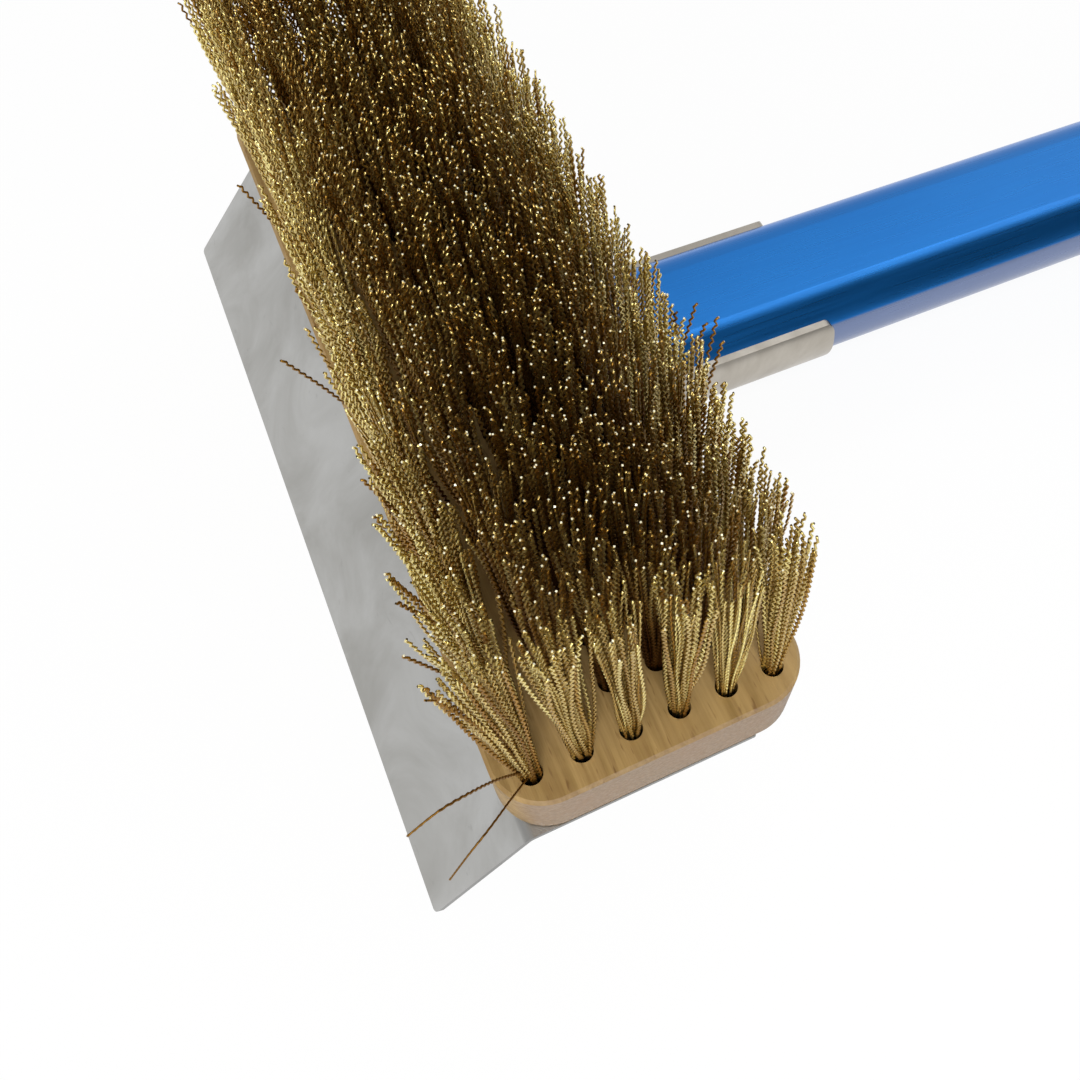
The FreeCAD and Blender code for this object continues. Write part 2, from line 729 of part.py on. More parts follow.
# ---------------------------------------------------------------------------------------------
# Build, check and write
# ---------------------------------------------------------------------------------------------
nodes = [make_block()]
nodes += make_bristles()
nodes += [make_scraper(), make_bracket(), make_tube(), make_cap()]
nodes += [
    make_screws("plate_screws", PLATE_BACK, PLATE_SCREW_Y),
    make_screws("bracket_screws", "0", BRACKET_SCREW_Y),
    make_rivets(),
    make_mandrels(),
]
doc.recompute()

for item in doc.Objects:
    if "Invalid" in item.State or "Error" in item.State:
        raise RuntimeError(f"{item.Label} failed: {item.State}")
for node in nodes:
    if node.Shape.isNull() or not node.Shape.isValid():
        raise RuntimeError(f"{node.Label} has no valid shape")

os.makedirs("parts", exist_ok=True)
for node in nodes:
    node.Shape.exportStep(os.path.join("parts", f"{node.Label}.step"))
    solids = len(node.Shape.Solids)
    print(f"{node.Label}: {solids} solid(s), {node.Shape.Volume / 1000:.2f} cm3")
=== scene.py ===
import math

import bpy
import numpy as np
from mathutils import Euler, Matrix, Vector


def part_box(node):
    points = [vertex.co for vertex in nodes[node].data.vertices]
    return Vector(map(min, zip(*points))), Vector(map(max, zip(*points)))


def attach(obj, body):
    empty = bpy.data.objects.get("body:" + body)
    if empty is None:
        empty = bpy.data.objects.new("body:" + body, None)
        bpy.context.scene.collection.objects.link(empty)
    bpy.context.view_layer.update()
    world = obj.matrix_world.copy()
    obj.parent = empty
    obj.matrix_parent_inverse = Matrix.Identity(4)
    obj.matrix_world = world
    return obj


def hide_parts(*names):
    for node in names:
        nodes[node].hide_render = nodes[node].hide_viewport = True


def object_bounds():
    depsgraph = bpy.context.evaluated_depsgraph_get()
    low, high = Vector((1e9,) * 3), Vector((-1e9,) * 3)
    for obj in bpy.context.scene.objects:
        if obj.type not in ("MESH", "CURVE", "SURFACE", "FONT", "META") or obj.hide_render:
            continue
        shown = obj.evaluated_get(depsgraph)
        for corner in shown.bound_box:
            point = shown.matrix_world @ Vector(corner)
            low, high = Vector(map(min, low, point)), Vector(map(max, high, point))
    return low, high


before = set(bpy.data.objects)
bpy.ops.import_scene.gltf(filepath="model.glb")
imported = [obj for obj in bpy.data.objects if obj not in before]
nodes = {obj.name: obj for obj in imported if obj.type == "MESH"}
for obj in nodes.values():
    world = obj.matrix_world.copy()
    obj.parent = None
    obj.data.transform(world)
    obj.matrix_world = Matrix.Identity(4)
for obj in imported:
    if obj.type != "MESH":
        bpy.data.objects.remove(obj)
cad_low, cad_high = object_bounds()

MM = 0.001
SEED = 20261122

# Camera at the photograph's place: over the near end of the head, looking down its length.
CAMERA_PLACE = (-31.8 * MM, -146.4 * MM, 209.5 * MM)
CAMERA_TURN = (29.09, -2.42, -25.48)
CAMERA_LENS = 34.75
CAMERA_SHIFT = (-0.118, -0.023)

# Brush filling: crimped wires set in the drilled holes.
ROWS = 19
COLUMNS = 6
ROW_MARGIN = 7 * MM
COLUMN_PITCH = 10 * MM
HOLE_DEPTH = 11 * MM
TIP_RADIUS = 4.7 * MM
WIRE_LENGTH = 51 * MM
WIRE_RADIUS = 0.225 * MM
WIRES_PER_TUFT = 34
CRIMP_PERIOD = 1.85 * MM
CRIMP_HEIGHT = 0.3 * MM
CRIMP_POINTS = 4
# The walls between two rings are quads, so the cut ends are too.
WIRE_SIDES = 4
BUNDLE_RADIUS = 1.88 * MM
BUNDLE_OFFSET = 0.25 * MM
SPREAD = (5.3 * MM, 5.6 * MM)
OVERHANG = (0.7 * MM, -0.9 * MM)
OVERHANG_PULL = 0.7
LAST_COLUMN_IN = 1.0 * MM
NEAR_ROWS_BACK = (1.8 * MM, 0.9 * MM, 0.3 * MM)
TUFT_SCATTER = (0.9 * MM, 0.6 * MM)

# How much the wires differ from each other: ranges, or the spread of a normal draw.
PACKING_SCATTER = 0.07
FAN_RANGE = (0.8, 1.15)
TIP_SCATTER = 0.55 * MM
LENGTH_SCATTER = 0.45 * MM
LEAST_RISE = 0.3
WANDER = 0.4 * MM
BOW_RANGE = (0.95, 1.35)
CRIMP_TURN_TUFT = 0.4
CRIMP_TURN_WIRE = 0.35
CRIMP_HEIGHT_RANGE = (0.8, 1.15)
CRIMP_PHASE_WIRE = 0.6

# Tone of the brass: 0 is dark, 1 is bright, untarnished metal. It carries the wires' own tone,
# which differs at random and is duller on bent wires, and painted shade.
TONE_MEAN = 0.7
TONE_SCATTER = 0.17
TONE_LEAST = 0.2
STRAY_TONE = 0.22
LEANING_TONE = 0.3
# Painted shade down the wires: the outer tufts keep this tone down to the root; inner wires start
# at the root tone and gain the rest from one share of the length on, over a further share.
OUTER_LIT_TONE = 0.85
ROOT_TONE = 0.12
TIP_GAIN = 0.66
LIT_FROM = 0.35
LIT_OVER = 0.6

# Tufts at the near corners, pushed over in use: row and column, then how far the middle of the
# tips stands from the hole and how far they fan out, in millimetres.
CORNER_FANS = {
    (1, 0): ((-4.8, 3.4), (6.6, 2.8)),
    (2, 0): ((-3.9, 0.8), (6.8, 5.4)),
    (3, 0): ((-3.4, 0.2), (6.6, 5.6)),
    (4, 0): ((-3.0, 0.0), (6.4, 5.6)),
    (1, 5): ((-2.6, 3.0), (4.8, 4.6)),
    (2, 5): ((-2.4, 2.2), (5.0, 5.0)),
    (3, 5): ((-3.0, 1.0), (5.0, 5.4)),
    (4, 5): ((-3.0, 0.5), (5.0, 5.4)),
}

# Bent wires that stand away from their tufts: row, column, and the offsets from the hole's mouth
# that the wire passes, in millimetres.
STRAYS = (
    (1, 0, ((-5.9, -4.0, 16.8), (-11.0, -7.0, 26.5), (-15.9, -8.5, 29.5), (-21.4, -9.0, 26.0))),
    (1, 0, ((-5.0, -6.0, 12.0), (-9.7, -10.0, 16.5), (-14.4, -12.2, 15.0), (-19.0, -12.4, 5.5))),
)

STRAY_CRIMP = 0.45
CURVE_STEPS = 40

# Wires at the rim that lean out further than the rest: row, column, and the offset of the tip.
LEANING = (
    (1, 0, (-11.0, 2.0, 48.7)),
    (1, 0, (-9.0, 0.1, 49.2)),
    (2, 0, (-11.8, -1.4, 48.6)),
    (2, 0, (-11.1, -8.1, 48.1)),
    (3, 0, (-9.6, 0.8, 49.1)),
    (3, 0, (-10.4, -2.8, 48.8)),
    (4, 0, (-8.7, 1.9, 49.2)),
    (5, 0, (-8.4, -1.7, 49.3)),
    (8, 0, (-13.3, -4.3, 48.0)),
    (12, 0, (-9.7, -4.6, 48.8)),
    (5, 5, (6.5, 4.4, 49.4)),
    (5, 5, (5.5, -0.6, 49.7)),
    (6, 5, (4.8, -1.7, 49.7)),
    (6, 5, (4.0, -5.7, 49.5)),
)
# Points that such a wire passes on its way: shares of the tip's offset outwards and upwards.
LEANING_BOW = ((0.24, 0.36), (0.6, 0.7), (1.0, 1.0))

# Studio. Soft boxes: name, place, what they face, length across the picture and depth, watts.
SOFT_BOXES = (
    ("key", (-0.25, -0.75, 1.15), (0, 0, 0), (0.4, 0.4), 11),
    ("front", (-0.8, -1.1, 0.45), (0, 0, 0.03), (0.55, 0.55), 6),
    ("strip", (1.7, 0.53, 1.19), (1.7, 0, 0.01), (3.0, 0.3), 4),
)
# Dark flags along the tube: name, grey, start and end in x, lower and upper edge as (y, z).
FLAGS = (
    ("flag_high", 0.02, 0.2, 3.4, (-1.13, 0.65), (0.12, 1.29)),
    ("flag_low", 0.1, 0.6, 3.4, (-1.35, 0.05), (-1.13, 0.65)),
)
FLOOR_REACH = 8.0
FLOOR_GREY = 0.9
FLOOR_GLOW = 0.92
WORLD_LOW = (0.05, 0.62)
WORLD_HIGH = (0.45, 0.42)
WORLD_HANDLE = 0.72
HANDLE_WAY = (0.8, 0.6, 0)
HANDLE_EDGE = (0.3, 0.65)

# Smooth shading stops at edges sharper than this, in degrees.
BODY_EDGE = 30
FASTENER_EDGE = 35


# ---------------------------------------------------------------- shader helpers


def material(name):
    made = bpy.data.materials.new(name)
    made.use_nodes = True
    made.node_tree.nodes.clear()
    return made, Shader(made.node_tree)


class Shader:
    """Short calls for building a node tree."""

    def __init__(self, tree):
        self.tree = tree

    def node(self, kind, **settings):
        made = self.tree.nodes.new(kind)
        for key, value in settings.items():
            setattr(made, key, value)
        return made

    def link(self, source, target):
        self.tree.links.new(source, target)

    def feed(self, socket, value):
        if isinstance(value, bpy.types.NodeSocket):
            self.link(value, socket)
        else:
            socket.default_value = value

    def place(self, scale=(1, 1, 1), turn=(0, 0, 0)):
        """Object coordinates, stretched by scale."""
        where = self.node("ShaderNodeTexCoord")
        mapping = self.node("ShaderNodeMapping")
        mapping.inputs["Scale"].default_value = scale
        mapping.inputs["Rotation"].default_value = [math.radians(a) for a in turn]
        self.link(where.outputs["Object"], mapping.inputs["Vector"])
        return mapping.outputs["Vector"]

    def noise(self, vector, scale, detail=4.0, rough=0.55, distortion=0.0):
        made = self.node("ShaderNodeTexNoise")
        self.link(vector, made.inputs["Vector"])
        made.inputs["Scale"].default_value = scale
        made.inputs["Detail"].default_value = detail
        made.inputs["Roughness"].default_value = rough
        made.inputs["Distortion"].default_value = distortion
        return made.outputs["Fac"]

    def facing(self, axis):
        """How squarely the surface looks along one axis of the object, either way: 0 to 1."""
        parts = self.node("ShaderNodeSeparateXYZ")
        self.link(self.node("ShaderNodeTexCoord").outputs["Normal"], parts.inputs["Vector"])
        size = self.node("ShaderNodeMath", operation="ABSOLUTE")
        self.link(parts.outputs[axis], size.inputs[0])
        return size.outputs[0]

    def ramp(self, fac, *stops):
        """stops: (position, value or colour)."""
        made = self.node("ShaderNodeValToRGB")
        self.link(fac, made.inputs["Fac"])
        elements = made.color_ramp.elements
        for _ in range(len(stops) - 2):
            elements.new(0.5)
        for element, (position, value) in zip(elements, stops):
            element.position = position
            if isinstance(value, (int, float)):
                value = (value, value, value)
            element.color = (*value[:3], 1)
        return made.outputs["Color"]

    def mix(self, fac, a, b, blend="MIX"):
        made = self.node("ShaderNodeMix", data_type="RGBA", blend_type=blend)
        self.feed(made.inputs["Factor"], fac)
        for socket, value in ((made.inputs[6], a), (made.inputs[7], b)):
            if isinstance(value, tuple):
                value = (*value[:3], 1)
            self.feed(socket, value)
        return made.outputs[2]

    def bump(self, height, distance, strength=1.0, normal=None):
        made = self.node("ShaderNodeBump")
        made.inputs["Distance"].default_value = distance
        made.inputs["Strength"].default_value = strength
        self.link(height, made.inputs["Height"])
        if normal is not None:
            self.link(normal, made.inputs["Normal"])
        return made.outputs["Normal"]

    def principled(self, **inputs):
        made = self.node("ShaderNodeBsdfPrincipled")
        for key, value in inputs.items():
            socket = made.inputs[key.replace("_", " ")]
            if isinstance(value, tuple) and len(value) == 3:
                value = (*value, 1)
            self.feed(socket, value)
        out = self.node("ShaderNodeOutputMaterial")
        self.link(made.outputs["BSDF"], out.inputs["Surface"])
        return made


def srgb(r, g, b):
    """A colour written as it looks on screen, 0 to 255."""
    return tuple(
        c / 255 / 12.92 if c / 255 <= 0.04045 else ((c / 255 + 0.055) / 1.055) ** 2.4
        for c in (r, g, b)
    )


# ---------------------------------------------------------------- materials


def beech_wood():
    """Oiled on the drilled face, paler and greyer where the end grain shows."""
    made, s = material("beech_wood")
    along = s.place(scale=(1, 0.06, 1))
    rings = s.noise(along, 150, detail=3, distortion=1.6)
    streaks = s.noise(s.place(scale=(1, 0.025, 1)), 900, detail=2)
    flecks = s.noise(s.place(scale=(1, 0.16, 1)), 1300, detail=1)
    patches = s.noise(s.place(), 60, detail=4, rough=0.65)
    pores = s.noise(s.place(), 1500, detail=2)
    tone = s.ramp(rings, (0.35, srgb(132, 104, 56)), (0.65, srgb(170, 140, 88)))
    tone = s.mix(s.ramp(streaks, (0.42, 0.0), (0.7, 0.6)), tone, srgb(128, 97, 52))
    tone = s.mix(s.ramp(flecks, (0.62, 0.0), (0.72, 0.75)), tone, srgb(104, 70, 34))
    tone = s.mix(s.ramp(patches, (0.4, 0.0), (0.7, 0.7)), tone, srgb(168, 138, 88))
    end = s.ramp(pores, (0.35, srgb(120, 100, 77)), (0.65, srgb(144, 122, 97)))
    end = s.mix(s.ramp(patches, (0.4, 0.0), (0.7, 0.7)), end, srgb(138, 110, 84))
    tone = s.mix(s.ramp(s.facing("Y"), (0.55, 0.0), (0.85, 1.0)), tone, end)
    # Painted highlight on the rounded top edges: a lighter band where the surface turns from the
    # top face to the sides, broken up by noise, partly wear of the wood and partly painted
    # highlight.
    sheen_mask = s.noise(s.place(), 420, detail=3, rough=0.7)
    arris_wear_and_highlight = s.ramp(s.facing("Z"), (0.2, 0.0), (0.3, 1.0), (0.45, 1.0), (0.55, 0.0))
    arris_wear_and_highlight = s.mix(1.0, arris_wear_and_highlight, s.ramp(sheen_mask, (0.42, 0.0), (0.62, 0.8)), "MULTIPLY")
    tone = s.mix(arris_wear_and_highlight, tone, srgb(214, 192, 156))
    height = s.bump(streaks, 0.00012)
    height = s.bump(flecks, 0.00008, normal=height)
    s.principled(
        Base_Color=tone,
        Roughness=s.ramp(streaks, (0.2, 0.4), (0.8, 0.58)),
        Specular_IOR_Level=0.35,
        Normal=height,
    )
    return made


def brass_wire(name, light, dark, deep_shade, roughness):
    """Drawn wire: tone runs from dark brown at the roots, which is painted shade, to bright,
    untarnished metal.
    """
    made, s = material(name)
    tone = s.node("ShaderNodeAttribute", attribute_name="tone")
    spots = s.noise(s.place(), 420, detail=3)
    # The darkest stop is painted shade, for the roots of the inner wires.
    colour = s.ramp(tone.outputs["Fac"], (0.08, deep_shade), (0.38, dark), (0.82, light))
    colour = s.mix(s.ramp(spots, (0.5, 0.0), (0.75, 0.55)), colour, tuple(0.55 * c for c in dark))
    rough = s.ramp(spots, (0.3, roughness), (0.7, roughness + 0.18))
    s.principled(
        Base_Color=colour,
        Metallic=1.0,
        Roughness=s.mix(s.ramp(tone.outputs["Fac"], (0.15, 1.0), (0.5, 0.0)), rough, (0.5,) * 3),
        Normal=s.bump(spots, 0.00003),
    )
    return made


def brass_cut_end():
    """The sheared end of a wire: about one in three gets a painted glint, pale and part matte so it
    shines under any lamp; the rest are dulled.
    """
    made, s = material("brass_cut_end")
    smear = s.noise(s.place(), 2600, detail=2)
    glint = s.node("ShaderNodeAttribute", attribute_name="glint").outputs["Fac"]
    # Painted glint on the ends picked out by the glint value.
    lit_share = s.ramp(glint, (0.62, 0.0), (0.7, 1.0))
    bright = s.ramp(smear, (0.3, srgb(246, 238, 196)), (0.7, srgb(255, 252, 226)))
    s.principled(
        Base_Color=s.mix(lit_share, srgb(92, 74, 40), bright),
        Metallic=s.mix(lit_share, (1.0,) * 3, (0.35,) * 3),
        Roughness=s.ramp(smear, (0.3, 0.3), (0.7, 0.45)),
        Normal=s.bump(smear, 0.00002),
    )
    return made


def satin_steel(name, light, dark, roughness, across=(1, 1, 1), edge=0.0):
    """Satin sheet or bar. edge is how far painted shade darkens the ends that face along Y, against
    the faces.
    """
    made, s = material(name)
    grain = s.noise(s.place(scale=across), 2400, detail=2)
    smudge = s.noise(s.place(), 34, detail=5, rough=0.62, distortion=0.8)
    scuff = s.noise(s.place(scale=(1, 0.35, 1)), 240, detail=3, distortion=2.0)
    colour = s.ramp(smudge, (0.32, dark), (0.62, light))
    colour = s.mix(s.ramp(scuff, (0.68, 0.0), (0.8, 0.5)), colour, tuple(0.72 * c for c in dark))
    # Painted shade on the ends that face along Y.
    colour = s.mix(s.ramp(s.facing("Y"), (0.85, 0.0), (0.97, edge)), colour, srgb(84, 82, 78))
    rough = s.ramp(smudge, (0.3, roughness + 0.1), (0.7, roughness - 0.04))
    s.principled(
        Base_Color=colour,
        Metallic=1.0,
        Roughness=rough,
        Anisotropic=0.35,
        Normal=s.bump(grain, 0.00001, 0.6),
    )
    return made


def blue_anodised(low, high):
    """Dyed satin aluminium under a clear oxide, with a painted reflection of the pale floor,
    greyish lavender, on the narrow sides.
    """
    made, s = material("blue_anodised")
    drawn = s.noise(s.place(scale=(0.02, 1, 1)), 1800, detail=2)
    cloud = s.noise(s.place(scale=(0.3, 1, 1)), 40, detail=4)
    pits = s.noise(s.place(), 5200, detail=1)
    colour = s.ramp(cloud, (0.3, srgb(26, 118, 202)), (0.7, srgb(32, 124, 208)))
    colour = s.mix(s.ramp(drawn, (0.4, 0.0), (0.75, 0.25)), colour, srgb(22, 108, 190))
    # Painted reflection on the narrow sides: greyish lavender over the outer 1.25 mm of the width,
    # strong on the near side and faint on the far side.
    where = s.node("ShaderNodeTexCoord")
    parts = s.node("ShaderNodeSeparateXYZ")
    s.link(where.outputs["Object"], parts.inputs["Vector"])
    for side, rub in ((-1, 0.75), (1, 0.15)):
        out = s.node("ShaderNodeMath", operation="MULTIPLY")
        s.link(parts.outputs["Y"], out.inputs[0])
        out.inputs[1].default_value = side
        sheen_mask = s.node("ShaderNodeMapRange")
        s.link(out.outputs[0], sheen_mask.inputs["Value"])
        sheen_mask.inputs["From Min"].default_value = high.y - 1.25 * MM
        sheen_mask.inputs["From Max"].default_value = high.y - 1.0 * MM
        sheen_mask.inputs["To Max"].default_value = rub
        colour = s.mix(sheen_mask.outputs["Result"], colour, srgb(132, 134, 150))
    height = s.bump(drawn, 0.00001, 0.5)
    height = s.bump(pits, 0.00001, 0.5, normal=height)
    s.principled(
        Base_Color=colour,
        Metallic=0.9,
        Roughness=s.ramp(drawn, (0.3, 0.26), (0.7, 0.34)),
        Coat_Weight=0.25,
        Coat_Roughness=0.2,
        Coat_IOR=1.5,
        Normal=height,
    )
    return made


def moulded_plastic():
    made, s = material("moulded_plastic")
    spark = s.noise(s.place(), 1500, detail=2)
    rub = s.noise(s.place(scale=(0.5, 1, 1)), 60, detail=4)
    s.principled(
        Base_Color=s.ramp(rub, (0.35, srgb(24, 24, 25)), (0.75, srgb(44, 44, 45))),
        Roughness=s.ramp(rub, (0.3, 0.42), (0.7, 0.58)),
        Normal=s.bump(spark, 0.00004),
    )
    return made


# ---------------------------------------------------------------- brush filling


def tube_mesh(name, paths, side, radius, tones, glints):
    """One mesh of many closed tubes. paths is wires x points x 3, side has one unit vector per wire
    across its path, tones is wires x points, glints one value per wire. The last faces are the cut
    ends, in the second material slot."""
    wires, points, _ = paths.shape
    tangent = unit(np.gradient(paths, axis=1))
    first = unit(np.cross(side[:, None, :], tangent))
    second = np.cross(tangent, first)
    turns = (np.arange(WIRE_SIDES) + 0.5) * 2 * math.pi / WIRE_SIDES
    rings = paths[:, :, None, :] + radius * (
        np.cos(turns)[None, None, :, None] * first[:, :, None, :]
        + np.sin(turns)[None, None, :, None] * second[:, :, None, :]
    )
    index = np.arange(wires * points * WIRE_SIDES).reshape(wires, points, WIRE_SIDES)
    low, high = index[:, :-1, :], index[:, 1:, :]
    walls = np.stack(
        [low, np.roll(low, -1, axis=2), np.roll(high, -1, axis=2), high], axis=-1
    ).reshape(-1, WIRE_SIDES)
    ends = np.concatenate([index[:, 0, ::-1], index[:, -1, :]])
    faces = np.concatenate([walls, ends]).astype(np.int32)
    mesh = bpy.data.meshes.new(name)
    mesh.vertices.add(rings.size // 3)
    mesh.vertices.foreach_set("co", rings.astype(np.float32).ravel())
    mesh.loops.add(faces.size)
    mesh.loops.foreach_set("vertex_index", faces.ravel())
    mesh.polygons.add(len(faces))
    mesh.polygons.foreach_set("loop_start", np.arange(0, faces.size, WIRE_SIDES, dtype=np.int32))
    smooth = np.ones(len(faces), bool)
    smooth[len(walls):] = False
    slots = np.zeros(len(faces), np.int32)
    slots[-wires:] = 1
    mesh.update(calc_edges=True)
    mesh.polygons.foreach_set("use_smooth", smooth)
    mesh.polygons.foreach_set("material_index", slots)
    spread = np.repeat(glints, points)
    for title, values in (("tone", tones.ravel()), ("glint", spread)):
        held = mesh.attributes.new(title, "FLOAT", "POINT")
        held.data.foreach_set("value", np.repeat(values, WIRE_SIDES).astype(np.float32))
    mesh.update()
    return mesh


def unit(v):
    return v / np.linalg.norm(v, axis=-1, keepdims=True)


def disc(rng, count):
    """count points spread evenly over a disc of radius 1."""
    turn = rng.uniform(0, 2 * math.pi)
    k = np.arange(count) + 0.5
    reach = np.sqrt(k / count)
    angle = turn + k * math.pi * (3 - math.sqrt(5))
    spot = np.stack([reach * np.cos(angle), reach * np.sin(angle)], axis=1)
    return spot + rng.normal(0, PACKING_SCATTER, spot.shape)


def crimped(centre, side, height, phase, first):
    """Lays the crimp on smooth centre lines, from point number first on."""
    wires, points, _ = centre.shape
    tangent = unit(np.gradient(centre, axis=1))
    across = unit(np.cross(side[:, None, :], tangent))
    step = np.maximum(np.arange(points) - first, 0)
    turn = (step[None, :] + 0.5) * 2 * math.pi / CRIMP_POINTS + phase[:, None]
    wave = np.sin(turn) * (np.arange(points) > first)
    return centre + across * (height[:, None] * wave)[:, :, None]


def tuft_wires(rng, hole, tip_centre, spread, edge):
    """Roots and tips of one tuft: packed in the hole, fanned out to the tips. edge is how far in x
    the tips may reach."""
    count = WIRES_PER_TUFT
    spot = disc(rng, count)
    base = hole + BUNDLE_RADIUS * spot
    base[:, 1] += BUNDLE_OFFSET
    lean = spot * spread * rng.uniform(*FAN_RANGE, (count, 1))
    tip = tip_centre + (lean + rng.normal(0, TIP_SCATTER, (count, 2)))
    over = np.maximum(tip[:, 0] - edge[1], 0) - np.maximum(edge[0] - tip[:, 0], 0)
    tip[:, 0] -= OVERHANG_PULL * over
    reach = np.linalg.norm(tip - base, axis=1)
    length = WIRE_LENGTH - np.abs(rng.normal(0, LENGTH_SCATTER, count))
    rise = np.sqrt(np.maximum(length**2 - reach**2, (LEAST_RISE * length) ** 2))
    return base, tip, rise


def wire_paths(rng, base, tip, rise, mouth, floor, bow):
    """Smooth centre lines: upright in the hole, splaying more the higher they go."""
    steps = int(WIRE_LENGTH / CRIMP_PERIOD * CRIMP_POINTS)
    t = np.linspace(0, 1, steps)
    ease = t[None, :] ** bow[:, None]
    wander = np.zeros((len(base), steps, 2))
    for wave in (1, 2, 3):
        size = rng.normal(0, WANDER / wave, (len(base), 1, 2))
        wander += size * np.sin(math.pi * wave * t)[None, :, None]
    flat = base[:, None, :] + (tip - base)[:, None, :] * ease[:, :, None] + wander
    up = mouth + rise[:, None] * t[None, :]
    shown = np.concatenate([flat, up[:, :, None]], axis=2)
    return shown, in_hole(base, mouth, floor)


def in_hole(base, mouth, floor):
    """The two hidden points of each wire: at the hole's floor and half way up."""
    bottom = np.concatenate([base, np.full((len(base), 1), floor)], axis=1)
    middle = np.concatenate([base, np.full((len(base), 1), (floor + mouth) / 2)], axis=1)
    return np.stack([bottom, middle], axis=1)


def stray_path(base, mouth, offsets, steps):
    """A smooth curve from the hole's mouth through the given offsets, evenly stepped."""
    root = np.array([base[0], base[1], mouth])
    knots = np.array([root] + [root + MM * np.array(o) for o in offsets])
    knots = np.concatenate([[2 * knots[0] - knots[1]], knots, [2 * knots[-1] - knots[-2]]])
    fine = []
    for k in range(1, len(knots) - 2):
        before, start, end, after = knots[k - 1], knots[k], knots[k + 1], knots[k + 2]
        for t in np.linspace(0, 1, CURVE_STEPS, endpoint=False):
            fine.append(
                0.5
                * (
                    2 * start
                    + (end - before) * t
                    + (2 * before - 5 * start + 4 * end - after) * t**2
                    + (3 * start - before - 3 * end + after) * t**3
                )
            )
    fine = np.array(fine + [knots[-2]])
    run = np.concatenate([[0], np.cumsum(np.linalg.norm(np.diff(fine, axis=0), axis=1))])
    even = np.linspace(0, run[-1], steps)
    return np.stack([np.interp(even, run, fine[:, axis]) for axis in range(3)], axis=1)


def root_shade(points, outer_tuft):
    """Painted shade along a wire, from its root to its tip: inner wires darken towards the root,
    where shade falls deep in the brush. Only the wires round the outside stay bright all the way
    down."""
    up = np.linspace(0, 1, points)
    lit_share = np.clip((up - LIT_FROM) / LIT_OVER, 0, 1)
    return np.maximum(lit_share, OUTER_LIT_TONE) if outer_tuft else ROOT_TONE + TIP_GAIN * lit_share


def leaning_path(base, mouth, tip, steps):
    """A wire that leaves the hole upright and bows over to a tip at the given offset."""
    x, y, z = tip
    knots = [(out * x, out * y, up * z) for out, up in LEANING_BOW]
    return stray_path(base, mouth, knots, steps)


def bristle_row(number, brass, cut_end):
    """The separate wires of one row of tufts, in place of the CAD row. Row 1 is the nearest."""
    name = f"bristle_row_{number:02d}"
    rng = np.random.default_rng(SEED + number)
    low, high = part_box(name)
    block_low, block_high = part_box("head_block")
    mouth, floor = block_high.z, block_high.z - HOLE_DEPTH
    pitch = (block_high.y - block_low.y - 2 * ROW_MARGIN) / (ROWS - 1)
    hole_y = block_low.y + ROW_MARGIN + (number - 1) * pitch
    middle = (block_low.x + block_high.x) / 2
    tip_y = (low.y + high.y) / 2
    tip_x = np.linspace(low.x + TIP_RADIUS, high.x - TIP_RADIUS, COLUMNS)
    paths, sides, tones = [], [], []
    for column in range(COLUMNS):
        hole = np.array([middle + (column - (COLUMNS - 1) / 2) * COLUMN_PITCH, hole_y])
        centre = np.array([tip_x[column], tip_y]) + rng.normal(0, TUFT_SCATTER)
        spread = np.array(SPREAD)
        edge = [low.x - OVERHANG[0], high.x + OVERHANG[1]]
        if column == COLUMNS - 1:
            centre[0] -= LAST_COLUMN_IN
        if number <= len(NEAR_ROWS_BACK):
            centre[1] += NEAR_ROWS_BACK[number - 1]
        if (number, column) in CORNER_FANS:
            stand, fan = CORNER_FANS[number, column]
            centre = hole + MM * np.array(stand)
            spread = MM * np.array(fan)
            edge[0] = hole[0] - 2 * spread[0]
        base, tip, rise = tuft_wires(rng, hole, centre, spread, edge)
        bow = rng.uniform(*BOW_RANGE, len(base))
        shown, hidden = wire_paths(rng, base, tip, rise, mouth, floor, bow)
        loose = [offsets for row, place, offsets in STRAYS if (row, place) == (number, column)]
        for wire, offsets in enumerate(loose):
            shown[wire] = stray_path(base[wire], mouth, offsets, shown.shape[1])
        lean = [offset for row, place, offset in LEANING if (row, place) == (number, column)]
        for wire, offset in enumerate(lean, start=len(loose)):
            shown[wire] = leaning_path(base[wire], mouth, offset, shown.shape[1])
        turn = math.pi / 2 + rng.normal(0, CRIMP_TURN_TUFT)
        turn = turn + rng.normal(0, CRIMP_TURN_WIRE, len(base))
        side = np.stack([np.cos(turn), np.sin(turn), np.zeros(len(base))], axis=1)
        height = CRIMP_HEIGHT * rng.uniform(*CRIMP_HEIGHT_RANGE, len(base))
        height[: len(loose)] *= STRAY_CRIMP
        phase = rng.uniform(0, 2 * math.pi) + rng.normal(0, CRIMP_PHASE_WIRE, len(base))
        paths.append(crimped(np.concatenate([hidden, shown], axis=1), side, height, phase, 2))
        sides.append(side)
        tone = np.clip(rng.normal(TONE_MEAN, TONE_SCATTER, len(base)), TONE_LEAST, 1)
        tone[: len(loose) + len(lean)] = LEANING_TONE
        tone[: len(loose)] = STRAY_TONE
        # The outer tufts are painted lit down to the root, the inner ones get painted shade towards
        # it.
        outer_tuft = column in (0, COLUMNS - 1) or number in (1, ROWS)
        tones.append(tone[:, None] * root_shade(paths[-1].shape[1], outer_tuft)[None, :])
    mesh = tube_mesh(
        "wires_" + name,
        np.concatenate(paths),
        np.concatenate(sides),
        WIRE_RADIUS,
        np.concatenate(tones),
        rng.uniform(0, 1, COLUMNS * WIRES_PER_TUFT),
    )
    mesh.materials.append(brass)
    mesh.materials.append(cut_end)
    piece = bpy.data.objects.new("wires_" + name, mesh)
    bpy.context.scene.collection.objects.link(piece)
    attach(piece, "root")
    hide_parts(name)
    return piece


# ---------------------------------------------------------------- stage


